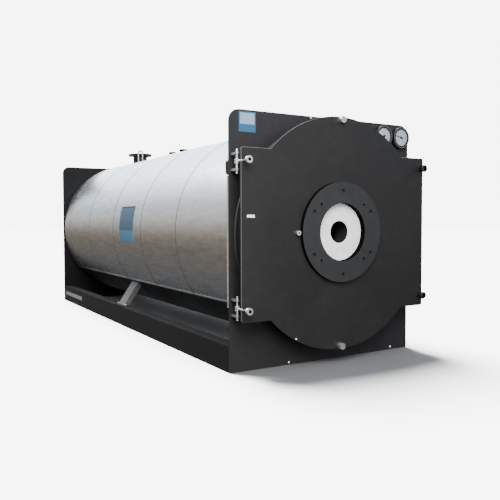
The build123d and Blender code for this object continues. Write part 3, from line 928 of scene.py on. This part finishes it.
def rear_fittings():
    """The smokebox's bolted rim and its cleaning cover."""
    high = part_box("rear_smokebox")[1]
    rim_r, rim_width, rim_thickness = high.x, 0.050, 0.010
    rim_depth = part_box("rear_plate")[1].y - FACE_Y
    rim = bmesh.new()
    ring(rim, at(0, rim_depth, AXIS_Z), REAR, rim_r, rim_r + rim_width, rim_thickness, steps=96)
    piece("smokebox_rim", rim, FRAME_PAINT)

    half_width, half_height, thickness, drop = 0.160, 0.085, 0.012, 0.400
    back, cover_z = high.y - FACE_Y, AXIS_Z - drop
    cover = bmesh.new()
    low_corner = at(-half_width, back, cover_z - half_height)
    block(cover, low_corner, at(half_width, back + thickness, cover_z + half_height))
    piece("cleaning_cover", cover, FRAME_PAINT)

    across, rim_bolt_height, cover_bolt_height, bolt_count = 0.019, 0.009, 0.010, 24
    bolt_x, bolt_rise = 0.13, 0.06
    bolts = bmesh.new()
    for number in range(bolt_count):
        angle = 2 * math.pi * (number + 0.5) / bolt_count
        foot = round_shell(rim_r + rim_width / 2, angle, rim_depth + rim_thickness)
        hexagon(bolts, foot, REAR, across, rim_bolt_height, turn=chance.uniform(0, 1))
    for x in (-bolt_x, bolt_x):
        for rise in (-bolt_rise, bolt_rise):
            foot = at(x, back + thickness, cover_z + rise)
            hexagon(bolts, foot, REAR, across, cover_bolt_height, turn=chance.uniform(0, 1))
    piece("smokebox_bolts", bolts, ZINC)


def strut_feet():
    """The foot plates that bolt the struts to the rails."""
    half_length, width, thickness = 0.110, 0.090, 0.008
    bolt_inset, across, bolt_height = 0.015, 0.019, 0.011
    plates, bolts = bmesh.new(), bmesh.new()
    for side, name in ((-1, "strut_left"), (1, "strut_right")):
        strut = middle(name)
        near, far = sorted((side * SIDE_X, side * (SIDE_X - width)))
        low = (near, strut.y - half_length, RAIL_TOP)
        block(plates, low, (far, strut.y + half_length, RAIL_TOP + thickness))
        for step in (bolt_inset - half_length, half_length - bolt_inset):
            foot = Vector((side * (SIDE_X - width / 2), strut.y + step, RAIL_TOP + thickness))
            hexagon(bolts, foot, UP, across, bolt_height, turn=chance.uniform(0, 1))
    piece("strut_foot_plates", plates, FRAME_PAINT)
    piece("strut_foot_bolts", bolts, ZINC)


def smoke_tubes():
    """The ends of the smoke tubes in the front tube plate, which the open door shows."""
    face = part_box("front_tube_plate")[0].y - FACE_Y
    tube_r, wall, proud = 0.038, 0.004, 0.004
    ends, bores = bmesh.new(), bmesh.new()
    for circle_r, count in ((0.430, 22), (0.575, 28)):
        for number in range(count):
            foot = round_shell(circle_r, math.pi / 2 + number * 2 * math.pi / count, face)
            ring(ends, foot, FRONT, tube_r - wall, tube_r, proud, steps=32)
            # Each bore is closed by a dark disc: painted shade inside the tube.
            disc(bores, foot, FRONT, tube_r - wall, FILM, steps=32)
    piece("smoke_tube_ends", ends, BOILER_PLATE)
    piece("smoke_tube_bore_shades", bores, PAINTED_SHADE)


def weld_ring(bm, centre, axis, radius, leg):
    """Add a fillet weld in the corner between a flat face and a round wall."""
    profile = [(0, radius), (0, radius + leg), (leg * 0.35, radius + leg * 0.45), (leg, radius), (0, radius)]
    lathe(bm, profile, centre, axis, steps=96)


def welds():
    """The welds round the drum at the front and round the flue at the rear."""
    drum_leg, flue_leg = 0.007, 0.006
    beads = bmesh.new()
    weld_ring(beads, at(0, 0, AXIS_Z), FRONT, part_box("front_drum")[1].x, drum_leg)
    weld_ring(beads, at(0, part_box("flue_outlet")[0].y - FACE_Y, AXIS_Z), REAR, FLUE_R, flue_leg)
    piece("drum_welds", beads, WELD)


# Studio: a pale floor, a pale backdrop that only the camera sees, and light from above and both sides.
def grey(level, warm=0.0):
    """A light of this strength, a little warmer or cooler than neutral."""
    return (level * (1 + warm), level, level * (1 - warm), 1.0)


BACKDROP = grey(7.0)

# Light from before the boiler is dimmed to this share, and fades in over these Y values of its direction.
FRONT_SHARE = 0.3
FRONT_FADE = 0.4

# Light by the direction round the boiler's length: -90 degrees is down, 0 is left, 90 is up and 180 is right.
LIGHT_STEPS = [
    (-180, grey(0.10)),
    (-76, grey(0.13, -0.06)),
    (-60, grey(0.16)),
    (-40, grey(0.18, 0.08)),
    (-20, grey(0.17, 0.20)),
    (-4, grey(0.27, 0.20)),
    (8, grey(0.60, 0.09)),
    (18, grey(1.0, 0.02)),
    (32, grey(0.95, -0.06)),
    (46, grey(1.5, -0.11)),
    (58, grey(2.5, -0.14)),
    (75, grey(3.2, -0.15)),
    (90, grey(4.0, -0.15)),
    (120, grey(4.6, -0.12)),
    (155, grey(4.4, -0.10)),
    (180, grey(1.2)),
]


def make_world():
    """Light from all round, and the plain backdrop that the camera sees in its place."""
    world = bpy.data.worlds.new("studio")
    bpy.context.scene.world = world
    world.use_nodes = True
    tree = world.node_tree
    ray = add(tree, "ShaderNodeSeparateXYZ", {0: add(tree, "ShaderNodeTexCoord").outputs["Generated"]})
    across = add(tree, "ShaderNodeMath", {0: ray.outputs[0], 1: -1.0}, operation="MULTIPLY")
    angle = add(tree, "ShaderNodeMath", {0: ray.outputs[2], 1: across.outputs[0]}, operation="ARCTAN2")
    ramp = add(tree, "ShaderNodeValToRGB", {0: remap(tree, angle.outputs[0], -math.pi, math.pi)})
    stops = ramp.color_ramp.elements
    stops[0].color = LIGHT_STEPS[0][1]
    stops[1].color = LIGHT_STEPS[-1][1]
    for degrees, colour in LIGHT_STEPS[1:-1]:
        stops.new((degrees + 180) / 360).color = colour
    dimmer = remap(tree, ray.outputs[1], -FRONT_FADE, FRONT_FADE, FRONT_SHARE, 1.0)
    light = add(tree, "ShaderNodeVectorMath", {0: ramp.outputs[0], "Scale": dimmer}, operation="SCALE")
    seen = add(tree, "ShaderNodeLightPath").outputs["Is Camera Ray"]
    background = tree.nodes["Background"]
    background.inputs["Strength"].default_value = 1.0
    tree.links.new(blend(tree, seen, light.outputs[0], BACKDROP), background.inputs["Color"])


def staged_sheet(name, low, high, height, colour):
    """A flat sheet of the studio that only the camera and shadows see."""
    (left, front), (right, back) = low, high
    mesh = bpy.data.meshes.new(name)
    corners = [(left, front, height), (right, front, height), (right, back, height), (left, back, height)]
    mesh.from_pydata(corners, [], [(0, 1, 2, 3)])
    mesh.materials.append(new_material(name, colour, 0.9, specular=0.0)[0])
    sheet = bpy.data.objects.new(name, mesh)
    bpy.context.collection.objects.link(sheet)
    sheet.visible_diffuse = False
    sheet.visible_glossy = False
    return sheet


def make_floor():
    """The wide floor, and a paler sheet that lies on it between the rails."""
    floor_reach, lift = 60, 0.001
    low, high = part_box("base_rail_left")
    floor = staged_sheet("floor", (-floor_reach, -floor_reach), (floor_reach, floor_reach), 0, "5e5e5e")
    inner = staged_sheet("shade_under_boiler", (high.x, low.y), (-high.x, high.y), lift, "9c9c9c")
    return floor, inner


def area_light(name, place, aim, size, power):
    """A rectangular soft box that the camera doesn't see."""
    data = bpy.data.lights.new(name, "AREA")
    data.shape = "RECTANGLE"
    data.size, data.size_y = size
    data.energy = power
    light = bpy.data.objects.new(name, data)
    light.location = place
    light.rotation_euler = (Vector(aim) - Vector(place)).to_track_quat("-Z", "Y").to_euler()
    light.visible_camera = False
    bpy.context.collection.objects.link(light)


def floor_sun(sheets, source, spread, strength):
    """A broad sun that lights only the floor, which takes the boiler's shadow from it."""
    data = bpy.data.lights.new("floor_sun", "SUN")
    data.angle = math.radians(spread)
    data.energy = strength
    light = bpy.data.objects.new("floor_sun", data)
    light.rotation_euler = Vector(source).to_track_quat("Z", "Y").to_euler()
    bpy.context.collection.objects.link(light)
    lit = bpy.data.collections.new("floor_only")
    for sheet in sheets:
        lit.objects.link(sheet)
    light.light_linking.receiver_collection = lit


make_camera()
dress_nodes()
cladding_hems()
cladding_rivets()
cladding_laps()
front_cover_sheets()
crown_collars()
crown_socket_guards()
front_plate_blank()
side_plate_blank()
rail_plate_blank()
door_label_blank()
gauge_details("gauge_left", math.radians(215), (0, 2, 4, 6, 8, 10))
gauge_details("gauge_right", math.radians(166), (0, 20, 40, 60, 80, 100, 120))
door_edge()
burner_shades()
closing_knobs()
hinge_nut_hollows()
peep_sight()
hinge_block()
burner_fasteners()
plate_screws()
rear_fittings()
strut_feet()
smoke_tubes()
welds()
make_world()
floor_sheets = make_floor()
area_light("top_soft_box", place=(-3.5, 4.5, 8.5), aim=(0, 0.5, 0.5), size=(5, 5), power=1200)
area_light("front_soft_box", place=(-2.2, -5.4, 3.4), aim=(0, -2.3, 0.9), size=(3.0, 2.4), power=490)
area_light("front_low_box", place=(-1.2, -5.6, 0.7), aim=(0, -2.3, 0.5), size=(2.6, 1.0), power=62)
floor_sun(floor_sheets, source=(-0.07, 0.48, 1.0), spread=32, strength=235)
